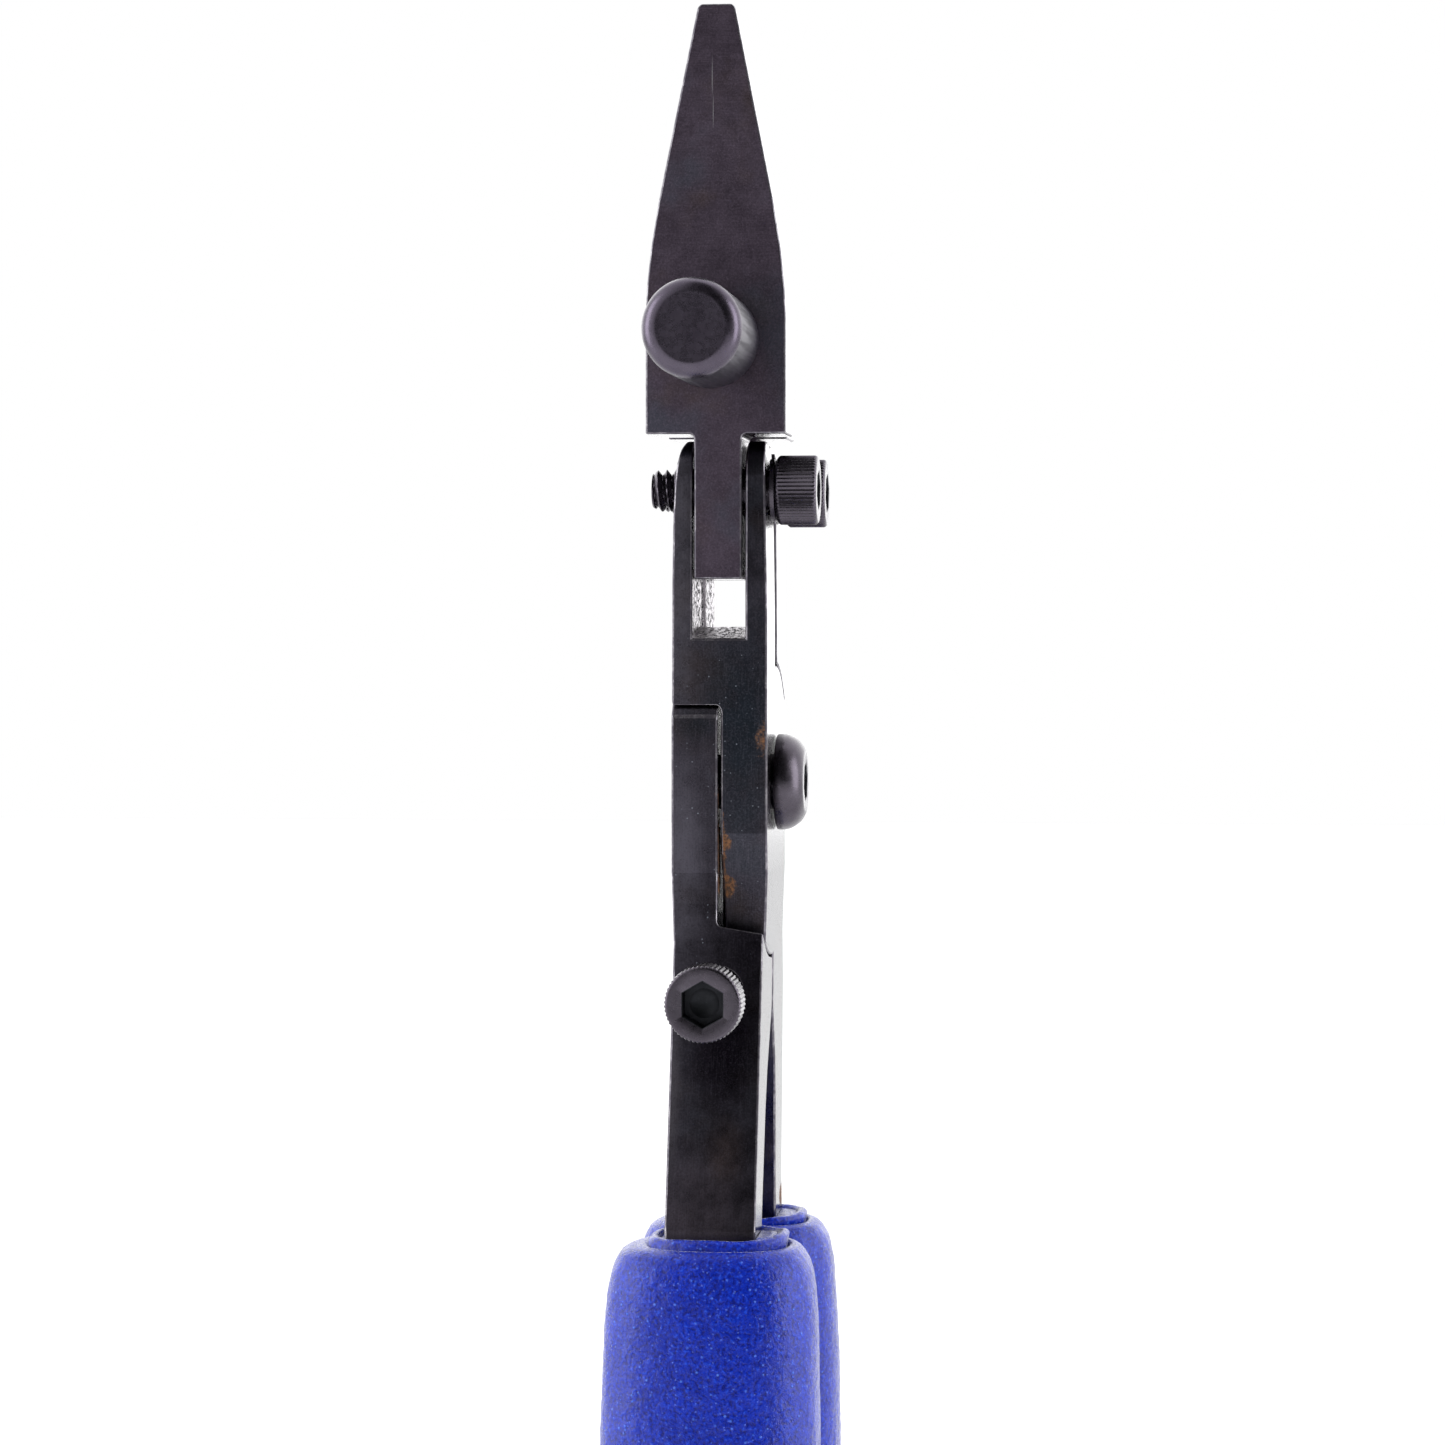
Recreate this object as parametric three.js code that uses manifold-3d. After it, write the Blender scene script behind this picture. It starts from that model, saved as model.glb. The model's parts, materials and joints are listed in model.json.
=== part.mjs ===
// Snap setter pliers: two steel levers crossing in a lap joint on one pivot screw. Each lever
// ends in a fork that holds a tapered jaw insert on a cross screw, and each insert carries a
// setting die with a round knob on its outer face. A stop screw in the front handle limits how
// far the jaws close. Both handles are dipped twice in vinyl.
//
// Millimetres, +Z up, jaws up. Shapes are drawn about the pivot: X along the pivot screw,
// -Y the front jaw's side. One lever is drawn, with its jaw in front and its handle behind;
// the other is the same lever turned half a turn about Z.
import * as THREE from 'three';
import { mergeVertices } from 'three/addons/utils/BufferGeometryUtils.js';
import Module from 'manifold-3d';

const wasm = await Module();
wasm.setup();

// Whole tool
const PIVOT_HEIGHT = 152;      // pivot above the ends of the grips
const CENTRING = 0.5;          // puts the origin under the middle of the whole tool
const GAP = 0.3;               // running clearance between neighbouring pieces

// Lever: jaw arm, joint and handle
const HALF_WIDTH = 5.45;       // half of the levers' width along the pivot at the joint
const HANDLE_HALF_WIDTH = 5.1;
const ARM_OUTER = 10.5;        // outer face of a jaw arm, from the middle plane
const ARM_INNER = 1.3;
const ARM_TOP = 39.2;
const ARM_TOP_RADIUS = 4.2;
const ARM_CREASE = 23;         // above here the outer face leans in a little
const ARM_LEAN = 0.3;
const JOINT_RADIUS = 13.5;     // round top of each lapped half
const JOINT_BACK = 11;         // flat back of each lapped half
const LOBE_RADIUS = 19.4;      // round underside of each lapped half
const LOBE_FLARE = 1;          // the underside slopes down this much towards its outer side
const LOBE_FRONT = 8.5;
const LOBE_INNER = 0.8;        // where the underside meets the handle, behind the middle plane
const LAP_FILLET = 0.6;        // inside corner of each half's room for the other
const JOINT_BEND = -5.5;       // the joint's front face bends back below here
const HANDLE_END = -147;

// Fork slot and cross screw
const SLOT_LEFT = -3.1;
const SLOT_RIGHT = 2.95;
const SLOT_FLOOR = 16.5;
const SLOT_FLOOR_RISE = 1.7;
const CROSS_Y = -5.75;
const CROSS_Z = 33.6;

// Jaw inserts, each in its own half's frame; the rear plate is narrower and shorter
const FRONT_INSERT = { centre: -0.45, narrower: 0, tip: 88.6, dieX: -1 };
const REAR_INSERT = { centre: 0.45, narrower: 1.05, tip: 85, dieX: 1 };
const INSERT_HALF_WIDTH = 8;
const INSERT_INNER = 5.5;      // inner face of the plate behind the die
const TONGUE_INNER = 2;
const TONGUE_BOTTOM = 23.4;
const SHOULDER_Z = 39.85;
const TAPER_TOP = 66.5;        // above here the plate's sides are straight
const TAPER_HALF_WIDTH = 6.48;
const TAPER_SLOPE = 0.1995;

// Dies and their knobs
const DIE_Z = 50.5;
const DIE_RADIUS = 5.4;
const DIE_FACE = 2.7;          // working face, from the middle plane
const DIE_SHANK_RADIUS = 2.4;
const KNOB_RADIUS = 5.55;
const KNOB_HEIGHT = 19.1;
const KNOB_EDGE = 1.2;

// Screws
const JAW_SCREW = { radius: 2.415, head: 3.96, height: 4.7, socket: 3.97, length: 14.35, pitch: 1.058 };
const STOP_SCREW = { radius: 2.5, head: 4.3, height: 4.8, socket: 4.45, length: 22, pitch: 0.8 };
const WASHER = { inner: 2.75, outer: 3.6, thickness: 0.65, split: 0.8 };
const PIVOT_SCREW = { radius: 3.175, head: 5.55, rim: 1.1, height: 3.3, flat: 3.65, socket: 3.97 };
const STOP_X = 0.1;
const STOP_Z = -23.4;
const STOP_HEAD_UNDERSIDE = -23.2;

// Vinyl dips; the rear handle runs slightly off the middle and is dipped less deep
const LINER = { end: -149.5, halfWidth: 8, halfDepth: 6.5 };
const GRIP = { end: -PIVOT_HEIGHT, halfWidth: 12.4, halfDepth: 9.75 };
const FRONT_HANDLE = { shift: 0, linerTop: -50.1, gripTop: -51.2 };
const REAR_HANDLE = { shift: -1, linerTop: -52.6, gripTop: -53.4 };

const blackOxide = { color: 0x2e2b31, roughness: 0.55, metalness: 0.8 };
const alloySteel = { color: 0x26252a, roughness: 0.42, metalness: 0.85 };
const dieSteel = { color: 0x3a383e, roughness: 0.35, metalness: 0.9 };
const urethane = { color: 0xd9d2b8, roughness: 0.6, metalness: 0 };
const blueVinyl = { color: 0x2b30b0, roughness: 0.5, metalness: 0 };

// ---------------------------------------------------------------- solids

/** Turns a closed three.js geometry into a solid that can be joined and cut. */
function solid(geometry) {
  geometry.deleteAttribute('normal');
  geometry.deleteAttribute('uv');
  const welded = mergeVertices(geometry, 1e-4);
  const corners = welded.index.array;
  const triVerts = [];
  for (let i = 0; i < corners.length; i += 3) {
    const [a, b, c] = corners.slice(i, i + 3);
    if (a !== b && b !== c && c !== a) triVerts.push(a, b, c);
  }
  return new wasm.Manifold(new wasm.Mesh({
    numProp: 3,
    vertProperties: welded.attributes.position.array,
    triVerts: new Uint32Array(triVerts),
  }));
}

function piece(name, shape, finish) {
  const { vertProperties, triVerts } = shape.getMesh();
  const geometry = new THREE.BufferGeometry();
  geometry.setAttribute('position', new THREE.BufferAttribute(vertProperties, 3));
  geometry.setIndex(new THREE.BufferAttribute(triVerts, 1));
  geometry.computeVertexNormals();
  const mesh = new THREE.Mesh(geometry, new THREE.MeshStandardMaterial(finish));
  mesh.name = name;
  return mesh;
}

function outline(points) {
  return new THREE.Shape(points.map(([u, v]) => new THREE.Vector2(u, v)));
}

/** Extrudes an outline drawn in (y, z) from x = low to x = high. */
function prismAlongX(shape, low, high, curveSegments = 8) {
  const depth = high - low;
  const geometry = new THREE.ExtrudeGeometry(shape, { depth, bevelEnabled: false, curveSegments });
  const axes = new THREE.Matrix4().makeBasis(
    new THREE.Vector3(0, 1, 0), new THREE.Vector3(0, 0, 1), new THREE.Vector3(1, 0, 0));
  return solid(geometry.applyMatrix4(axes).translate(low, 0, 0));
}

/** Extrudes an outline drawn in (x, z) from y = low to y = high. */
function prismAlongY(shape, low, high, curveSegments = 8) {
  const depth = high - low;
  const geometry = new THREE.ExtrudeGeometry(shape, { depth, bevelEnabled: false, curveSegments });
  return solid(geometry.rotateX(Math.PI / 2).translate(0, high, 0));
}

/** Revolves (radius, height) points, or a path of them, about +Y. */
function turned(profile, segments = 24) {
  const points = Array.isArray(profile)
    ? profile.map(([r, h]) => new THREE.Vector2(r, h))
    : profile.getPoints(3);
  return new THREE.LatheGeometry(points, segments);
}

function rodAlongX(radius, low, high, y, z) {
  const rod = new THREE.CylinderGeometry(radius, radius, high - low, 20);
  return solid(rod.rotateZ(Math.PI / 2).translate((low + high) / 2, y, z));
}

function rodAlongY(radius, low, high, x, z) {
  const rod = new THREE.CylinderGeometry(radius, radius, high - low, 20);
  return solid(rod.translate(x, (low + high) / 2, z));
}

// ---------------------------------------------------------------- handle's line

/** Distance of the handle's middle line from the middle plane, along the dipped length. */
function handleCentre(z) {
  return 22.2 - 0.00124 * (z + 118) ** 2;
}

/** Half the steel's thickness along the dipped length. */
function handleHalfThickness(z) {
  return 3.75 + 0.0075 * (z + 50);
}

/** How far a handle that ends at shift has moved sideways by height z. */
function sideShift(z, shift) {
  return shift * THREE.MathUtils.smoothstep(-z, 17, 55);
}

/** Points of the handle's edge, side = 1 outside and -1 inside, from the grip's mouth down. */
function dippedEdge(side, margin = 0, start = -50, end = HANDLE_END) {
  const count = 6;
  return Array.from({ length: count + 1 }, (_, i) => {
    const z = start + ((end - start) * i) / count;
    return [handleCentre(z) + side * (handleHalfThickness(z) + margin), z];
  });
}

function smoothEdge(points, divisions) {
  return new THREE.SplineCurve(points.map(([u, v]) => new THREE.Vector2(u, v))).getPoints(divisions);
}

// ---------------------------------------------------------------- lever

/** The lever seen along the pivot, in (y, z): jaw arm in front, handle behind. */
function leverSide() {
  const armFace = -ARM_OUTER + ARM_LEAN;
  const arcZ = ARM_TOP - ARM_TOP_RADIUS;
  const shape = new THREE.Shape();
  shape.moveTo(-ARM_OUTER, JOINT_BEND);
  shape.lineTo(-ARM_OUTER, ARM_CREASE);
  shape.absarc(armFace + ARM_TOP_RADIUS, arcZ, ARM_TOP_RADIUS, Math.PI, Math.PI / 2, true);
  shape.absarc(-ARM_INNER - ARM_TOP_RADIUS, arcZ, ARM_TOP_RADIUS, Math.PI / 2, 0, true);
  const crotch = Math.acos(-ARM_INNER / JOINT_RADIUS);
  const back = Math.acos(JOINT_BACK / JOINT_RADIUS);
  shape.absarc(0, 0, JOINT_RADIUS, crotch, back, true);
  const outer = [[JOINT_BACK, -10], [11.6, -17], [13.2, -23.6], [16.2, -34.6], [18.6, -43.6]];
  for (const p of smoothEdge([...outer, ...dippedEdge(1)], 20)) shape.lineTo(p.x, p.y);
  const inner = [[10.7, -43.6], [7.4, -34.6], [3.2, -28.5], [1.3, -25.5], [LOBE_INNER, -20.5]];
  for (const p of smoothEdge([...dippedEdge(-1).reverse(), ...inner], 20)) shape.lineTo(p.x, p.y);
  const lobe = LOBE_RADIUS + LOBE_FLARE;
  shape.absarc(0, 0, lobe, -Math.acos(LOBE_INNER / lobe), -Math.acos(-LOBE_FRONT / lobe), true);
  return shape;
}

/** The lever seen from the front, in (x, z): fork top ground rounder on its left. */
function leverFace(shift) {
  const heights = [-18, -24, -30, -36, -42, -48, -55, HANDLE_END - 1];
  const side = (sign) => heights.map((z) => [sign * HANDLE_HALF_WIDTH + sideShift(z, shift), z]);
  return outline([
    ...side(-1).reverse(), [-HALF_WIDTH, -10], [-HALF_WIDTH, 20], [-5.32, 30], [-5.15, 34], [-4.9, 36.6],
    [-4.6, 38.1], [-4.1, ARM_TOP + 0.1], [4.9, ARM_TOP + 0.1], [5.1, 38], [5.3, 30], [HALF_WIDTH, 20],
    [HALF_WIDTH, -10], ...side(1),
  ]);
}

/** Room for the other lever's half: a disc above, a wider flared disc below, filleted inside. */
function lapRoom() {
  const reach = HALF_WIDTH + 2;
  const fillet = LAP_FILLET;
  const disc = (radius, flare) => {
    const path = new THREE.Path();
    path.moveTo(0, -reach);
    path.lineTo(radius + flare, -reach);
    path.lineTo(radius, GAP / 2 - fillet);
    path.absarc(radius - fillet, GAP / 2 - fillet, fillet, 0, Math.PI / 2, false);
    path.lineTo(0, GAP / 2);
    return solid(turned(path, 64).rotateZ(-Math.PI / 2));
  };
  const below = new THREE.BoxGeometry(40, 80, 40).translate(0, 0, -20);
  return disc(JOINT_RADIUS + GAP, 0).add(disc(LOBE_RADIUS + GAP, LOBE_FLARE).intersect(solid(below)));
}

/** What is cut from a lapped half's underside to give it the same slope as the other's room. */
function lobeTrim() {
  const reach = HALF_WIDTH + 2;
  const disc = [[0, -reach], [LOBE_RADIUS, -reach], [LOBE_RADIUS, LAP_FILLET - GAP / 2],
    [LOBE_RADIUS + LOBE_FLARE, reach], [0, reach]];
  const depth = ARM_OUTER + LOBE_INNER + 1;
  const around = new THREE.BoxGeometry(2 * reach, depth, 10)
    .translate(0, LOBE_INNER - depth / 2, -LOBE_RADIUS);
  return solid(around).subtract(solid(turned(disc, 64).rotateZ(-Math.PI / 2)));
}

function forkSlot() {
  const y = ARM_OUTER + 1;
  const shape = outline([[-y, SLOT_FLOOR], [0, SLOT_FLOOR + SLOT_FLOOR_RISE], [0, 50], [-y, 50]]);
  return prismAlongX(shape, SLOT_LEFT, SLOT_RIGHT);
}

function lever(shift) {
  const reach = HALF_WIDTH + 1;
  return prismAlongX(leverSide(), -reach, reach, 20)
    .intersect(prismAlongY(leverFace(shift), -30, 40))
    .subtract(lapRoom())
    .subtract(lobeTrim())
    .subtract(forkSlot())
    .subtract(rodAlongX(JAW_SCREW.radius + GAP, -reach, reach, CROSS_Y, CROSS_Z))
    .subtract(rodAlongX(PIVOT_SCREW.radius + GAP, -reach, reach, 0, 0));
}

/** The lever in front of the joint, its lapped edge worn away towards the bottom. */
function frontLever() {
  const worn = outline([[0.05, -6], [0.5, -15], [0.55, -21], [0.05, -21]]);
  return lever(REAR_HANDLE.shift).subtract(prismAlongY(worn, -ARM_OUTER - 1, -LOBE_FRONT + 0.4));
}

/** The lever that takes the stop screw. */
function rearLever() {
  return lever(FRONT_HANDLE.shift)
    .subtract(rodAlongY(STOP_SCREW.radius + GAP, -5, 30, -STOP_X, STOP_Z));
}

// ---------------------------------------------------------------- jaw insert and die

function insertSide() {
  const shape = new THREE.Shape();
  shape.moveTo(-ARM_OUTER, TONGUE_BOTTOM);
  shape.lineTo(-ARM_OUTER, 57);
  shape.lineTo(-9.6, FRONT_INSERT.tip);
  shape.lineTo(-6.7, FRONT_INSERT.tip);
  shape.lineTo(-INSERT_INNER, 60);
  shape.lineTo(-INSERT_INNER, 45.5);
  shape.absarc(-INSERT_INNER + 1.5, 45.5, 1.5, Math.PI, Math.PI * 1.5, false);
  shape.lineTo(-TONGUE_INNER, 44);
  shape.lineTo(-TONGUE_INNER, TONGUE_BOTTOM);
  return shape;
}

function insertFace({ centre, narrower, tip }) {
  const left = SLOT_LEFT + 0.2;
  const right = SLOT_RIGHT - 0.4;
  const fillet = 0.6;
  const shape = new THREE.Shape();
  shape.moveTo(left, TONGUE_BOTTOM);
  shape.lineTo(left, SHOULDER_Z - fillet);
  shape.absarc(left - fillet, SHOULDER_Z - fillet, fillet, 0, Math.PI / 2, false);
  const tipReach = TAPER_HALF_WIDTH - TAPER_SLOPE * (tip - 0.4 - TAPER_TOP);
  for (const side of [-1, 1]) {
    const x = (reach) => centre + side * (reach - narrower);
    const edge = [[x(INSERT_HALF_WIDTH), SHOULDER_Z], [x(INSERT_HALF_WIDTH), 53], [x(7.85), 56.5],
      [x(7.4), 60.8], [x(TAPER_HALF_WIDTH), TAPER_TOP], [x(tipReach), tip - 0.4], [x(tipReach - 0.4), tip]];
    for (const [u, v] of side < 0 ? edge : edge.reverse()) shape.lineTo(u, v);
  }
  shape.absarc(right + fillet, SHOULDER_Z - fillet, fillet, Math.PI / 2, Math.PI, false);
  shape.lineTo(right, TONGUE_BOTTOM);
  return shape;
}

function jawInsert(insert) {
  return prismAlongX(insertSide(), -12, 12)
    .intersect(prismAlongY(insertFace(insert), -12, 0))
    .subtract(rodAlongX(JAW_SCREW.radius + GAP, -5, 5, CROSS_Y, CROSS_Z))
    .subtract(rodAlongY(DIE_SHANK_RADIUS + GAP, -12, 0, insert.dieX, DIE_Z));
}

/** Places a shape turned about +Y, with its base at y, on an insert's die axis, facing outwards. */
function onDieAxis(geometry, insert, y) {
  return solid(geometry.rotateX(Math.PI).translate(insert.dieX, y, DIE_Z));
}

function dieKnob(insert) {
  const bore = DIE_SHANK_RADIUS + GAP;
  const base = -(ARM_OUTER + GAP);
  const path = new THREE.Path();
  path.moveTo(0, 10);
  path.lineTo(bore, 10);
  path.lineTo(bore, 0);
  path.lineTo(KNOB_RADIUS - 0.5, 0);
  path.lineTo(KNOB_RADIUS, 0.5);
  path.absarc(KNOB_RADIUS - KNOB_EDGE, KNOB_HEIGHT - KNOB_EDGE, KNOB_EDGE, 0, Math.PI / 2, false);
  path.lineTo(0, KNOB_HEIGHT);
  return onDieAxis(turned(path, 32), insert, base);
}

/** A die's body with its shank through the plate; recess gives the working face's inner points. */
function die(recess, insert) {
  const seat = INSERT_INNER - GAP - DIE_FACE;
  const points = [...recess, [DIE_RADIUS - 0.3, 0], [DIE_RADIUS, 0.3], [DIE_RADIUS, seat],
    [DIE_SHANK_RADIUS, seat], [DIE_SHANK_RADIUS, seat + 14], [0, seat + 14]];
  return onDieAxis(turned(points), insert, -DIE_FACE);
}

/** The cap's die: a shallow cup with a well for its cushion. */
function capDie() {
  return die([[0, 1.6], [2.6, 1.6], [2.6, 0.9], [4.4, 0.15], [4.5, 0]], FRONT_INSERT);
}

function cushion() {
  const points = [[1, 0.95], [2.3, 0.95], [2.3, 1.3], [1, 1.3], [1, 0.95]];
  return onDieAxis(turned(points), FRONT_INSERT, -DIE_FACE);
}

/** The socket's die: a flat face with a ring groove and a hole for its pilot post. */
function socketDie() {
  const hole = 0.8 + GAP;
  return die([[0, 2], [hole, 2], [hole, 0], [2.4, 0], [2.4, 0.8], [3.6, 0.8], [3.6, 0]], REAR_INSERT);
}

function pilotPost() {
  const points = [[0, -0.8], [0.45, -0.8], [0.8, -0.3], [0.8, 1.7], [0, 1.7]];
  return onDieAxis(turned(points, 16), REAR_INSERT, -DIE_FACE);
}

// ---------------------------------------------------------------- screws and washers

/** A knurled, socketed head standing on y = 0. */
function socketHead({ head, height, socket }) {
  const teeth = 24;
  const knurl = Array.from({ length: 2 * teeth }, (_, i) => {
    const angle = (Math.PI * i) / teeth;
    const radius = i % 2 ? head - 0.15 : head;
    return [radius * Math.cos(angle), radius * Math.sin(angle)];
  });
  const extruded = new THREE.ExtrudeGeometry(outline(knurl), { depth: height, bevelEnabled: false });
  const edge = 0.5;
  const chamferFoot = [head + 1, height - edge - 1];
  const blank = turned([[0, 0], [head + 1, 0], chamferFoot, [head - edge, height], [0, height]]);
  const hex = new THREE.CylinderGeometry(socket / Math.sqrt(3), socket / Math.sqrt(3), height, 6);
  return solid(extruded.rotateX(-Math.PI / 2))
    .intersect(solid(blank))
    .subtract(solid(hex.translate(0, height, 0)));
}

/** A right-handed thread about Y from y = low to y = high, faded out at its lower end. */
function thread(radius, pitch, low, high) {
  const rows = Math.round((high - low) / (pitch / 3));
  const height = (row) => low + ((high - low) * row) / rows;
  const wall = Array.from({ length: rows + 1 }, (_, row) => [radius, height(row)]);
  const geometry = turned([[0, low], ...wall, [0, high]], 12);
  const points = geometry.attributes.position;
  for (let i = 0; i < points.count; i += 1) {
    const [x, y, z] = [points.getX(i), points.getY(i), points.getZ(i)];
    const turn = THREE.MathUtils.euclideanModulo(y / pitch + Math.atan2(z, x) / (2 * Math.PI), 1);
    const lead = THREE.MathUtils.clamp(1 - (y - low) / pitch, 0, 1);
    const scale = 1 - 0.24 * Math.max(Math.abs(2 * turn - 1), lead);
    points.setXYZ(i, x * scale, y, z * scale);
  }
  return solid(geometry);
}

/** A socket cap screw about Y: underside of the head at y = 0, threaded from y = -plain down. */
function capScrew(spec, plain, threaded) {
  const shank = turned([[0, -plain - 0.2], [spec.radius, -plain - 0.2], [spec.radius, 0.1], [0, 0.1]]);
  const tail = turned([[0, -spec.length], [spec.radius - 0.5, -spec.length],
    [spec.radius, -spec.length + 0.5], [spec.radius, -plain - threaded + 0.2], [0, -plain - threaded + 0.2]]);
  const body = socketHead(spec)
    .add(solid(shank))
    .add(thread(spec.radius, spec.pitch, -plain - threaded, -plain));
  return plain + threaded < spec.length ? body.add(solid(tail)) : body;
}

/** A jaw screw's threaded end stands out of the fork's left cheek. */
function jawScrew() {
  const threaded = 3.2;
  return capScrew(JAW_SCREW, JAW_SCREW.length - threaded, threaded);
}

function stopScrew() {
  return capScrew(STOP_SCREW, 0, 10.5);
}

function lockWasher() {
  const { inner, outer, thickness, split } = WASHER;
  const ring = turned([[inner, 0], [outer, 0], [outer, thickness], [inner, thickness], [inner, 0]]);
  const cut = new THREE.BoxGeometry(split, 3, 3).rotateY(0.4).translate(0, 0, (inner + outer) / 2);
  return solid(ring).subtract(solid(cut));
}

function pivotScrew() {
  const { radius, head, rim, height, flat, socket } = PIVOT_SCREW;
  const under = HALF_WIDTH + 0.15;
  const path = new THREE.Path();
  path.moveTo(0, -HALF_WIDTH + 0.1);
  path.lineTo(radius - 0.4, -HALF_WIDTH + 0.1);
  path.lineTo(radius, -HALF_WIDTH + 0.5);
  path.lineTo(radius, under);
  path.lineTo(head, under);
  path.lineTo(head, under + rim);
  path.quadraticCurveTo(head - 0.5, under + height - 0.5, flat, under + height);
  path.lineTo(0, under + height);
  const hex = new THREE.CylinderGeometry(socket / Math.sqrt(3), socket / Math.sqrt(3), 5, 6);
  return solid(turned(path, 32)).subtract(solid(hex.translate(0, under + height, 0)));
}

// ---------------------------------------------------------------- vinyl dips

/** A closed sleeve along the handle; profile gives (fraction of the half sizes, height) points. */
function sleeve(profile, halfWidth, halfDepth, shift) {
  const soften = (v) => Math.sign(v) * Math.abs(v) ** 0.78;
  const geometry = turned(profile, 24).rotateX(Math.PI / 2);
  const points = geometry.attributes.position;
  for (let i = 0; i < points.count; i += 1) {
    const [x, y, z] = [points.getX(i), points.getY(i), points.getZ(i)];
    const radius = Math.hypot(x, y) || 1;
    const across = halfWidth * radius * soften(x / radius);
    const deep = halfDepth * radius * soften(y / radius);
    const inside = Math.hypot(x, y) === 0;
    points.setXYZ(i, shift + (inside ? 0 : across), handleCentre(z) + (inside ? 0 : deep), z);
  }
  return solid(geometry);
}

/** Rounded at both ends, with steps every 14 mm or so between. */
function dipProfile(top, end, mouth) {
  const body = Array.from({ length: 6 }, (_, i) => [1, end + 10 + ((top - 22 - end - 10) * i) / 5]);
  return [[0, end], [0.55, end], [0.82, end + 1.4], [0.96, end + 4.6], ...body, ...mouth, [0, top]];
}

function linerBody({ shift, linerTop }, grow) {
  const { end, halfWidth, halfDepth } = LINER;
  const mouth = [[1, linerTop - 1], [0.93, linerTop]];
  return sleeve(dipProfile(linerTop, end - grow, mouth), halfWidth + grow, halfDepth + grow, shift);
}

/** The first dip: a close sleeve round the steel, whose collar shows above the outer dip. */
function gripLiner(handle) {
  const edges = [
    ...dippedEdge(1, GAP, -40, HANDLE_END - GAP),
    ...dippedEdge(-1, GAP, -40, HANDLE_END - GAP).reverse(),
  ];
  const reach = HANDLE_HALF_WIDTH + GAP + 0.1;
  const pocket = prismAlongX(outline(edges), handle.shift - reach, handle.shift + reach);
  return linerBody(handle, 0).subtract(pocket);
}

function grip(handle) {
  const { end, halfWidth, halfDepth } = GRIP;
  const top = handle.gripTop;
  const mouth = [[0.995, top - 18], [0.97, top - 8.5], [0.91, top - 3], [0.84, top - 0.9], [0.74, top]];
  return sleeve(dipProfile(top, end, mouth), halfWidth, halfDepth, handle.shift)
    .subtract(linerBody(handle, GAP));
}

// ---------------------------------------------------------------- assembly

const screws = [[-1, 'front'], [1, 'rear']].map(([side, name]) => {
  const group = new THREE.Group();
  const screw = piece(`${name}_jaw_screw`, jawScrew(), alloySteel);
  const washer = piece(`${name}_lock_washer`, lockWasher(), alloySteel);
  washer.position.y = -WASHER.thickness - 0.12;
  group.add(screw, washer);
  group.rotation.z = -Math.PI / 2;
  group.position.set(HALF_WIDTH + 0.75, side * -CROSS_Y, CROSS_Z);
  return group;
});

const frontHalf = new THREE.Group();
frontHalf.add(
  piece('front_jaw_lever', frontLever(), blackOxide),
  piece('front_jaw_insert', jawInsert(FRONT_INSERT), blackOxide),
  piece('front_die', capDie(), dieSteel),
  piece('front_die_cushion', cushion(), urethane),
  piece('front_die_knob', dieKnob(FRONT_INSERT), alloySteel),
  piece('rear_grip_liner', gripLiner(REAR_HANDLE), blueVinyl),
  piece('rear_grip', grip(REAR_HANDLE), blueVinyl),
);

const rearHalf = new THREE.Group();
rearHalf.rotation.z = Math.PI;
rearHalf.add(
  piece('rear_jaw_lever', rearLever(), blackOxide),
  piece('rear_jaw_insert', jawInsert(REAR_INSERT), blackOxide),
  piece('rear_die', socketDie(), dieSteel),
  piece('rear_die_post', pilotPost(), dieSteel),
  piece('rear_die_knob', dieKnob(REAR_INSERT), alloySteel),
  piece('front_grip_liner', gripLiner(FRONT_HANDLE), blueVinyl),
  piece('front_grip', grip(FRONT_HANDLE), blueVinyl),
);

const pivot = piece('pivot_screw', pivotScrew(), alloySteel);
pivot.rotation.z = -Math.PI / 2;

const stop = piece('stop_screw', stopScrew(), alloySteel);
stop.rotation.x = Math.PI;
stop.position.set(STOP_X, STOP_HEAD_UNDERSIDE, STOP_Z);

const pliers = new THREE.Group();
pliers.position.set(CENTRING, 0, PIVOT_HEIGHT);
pliers.add(frontHalf, rearHalf, pivot, stop, ...screws);
pliers.updateMatrixWorld(true);

export default pliers;
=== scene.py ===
"""Snap setter pliers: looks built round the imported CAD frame, in metres and in the frame's axes.

The levers and the jaw inserts are the CAD's own solids with softened edges. The screws, washers,
dies and knobs are turned again in finer detail, and the vinyl dips are sculpted sleeves.
"""
import json
import math

import bpy
import numpy as np
from mathutils import Matrix, Vector, noise


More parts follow.
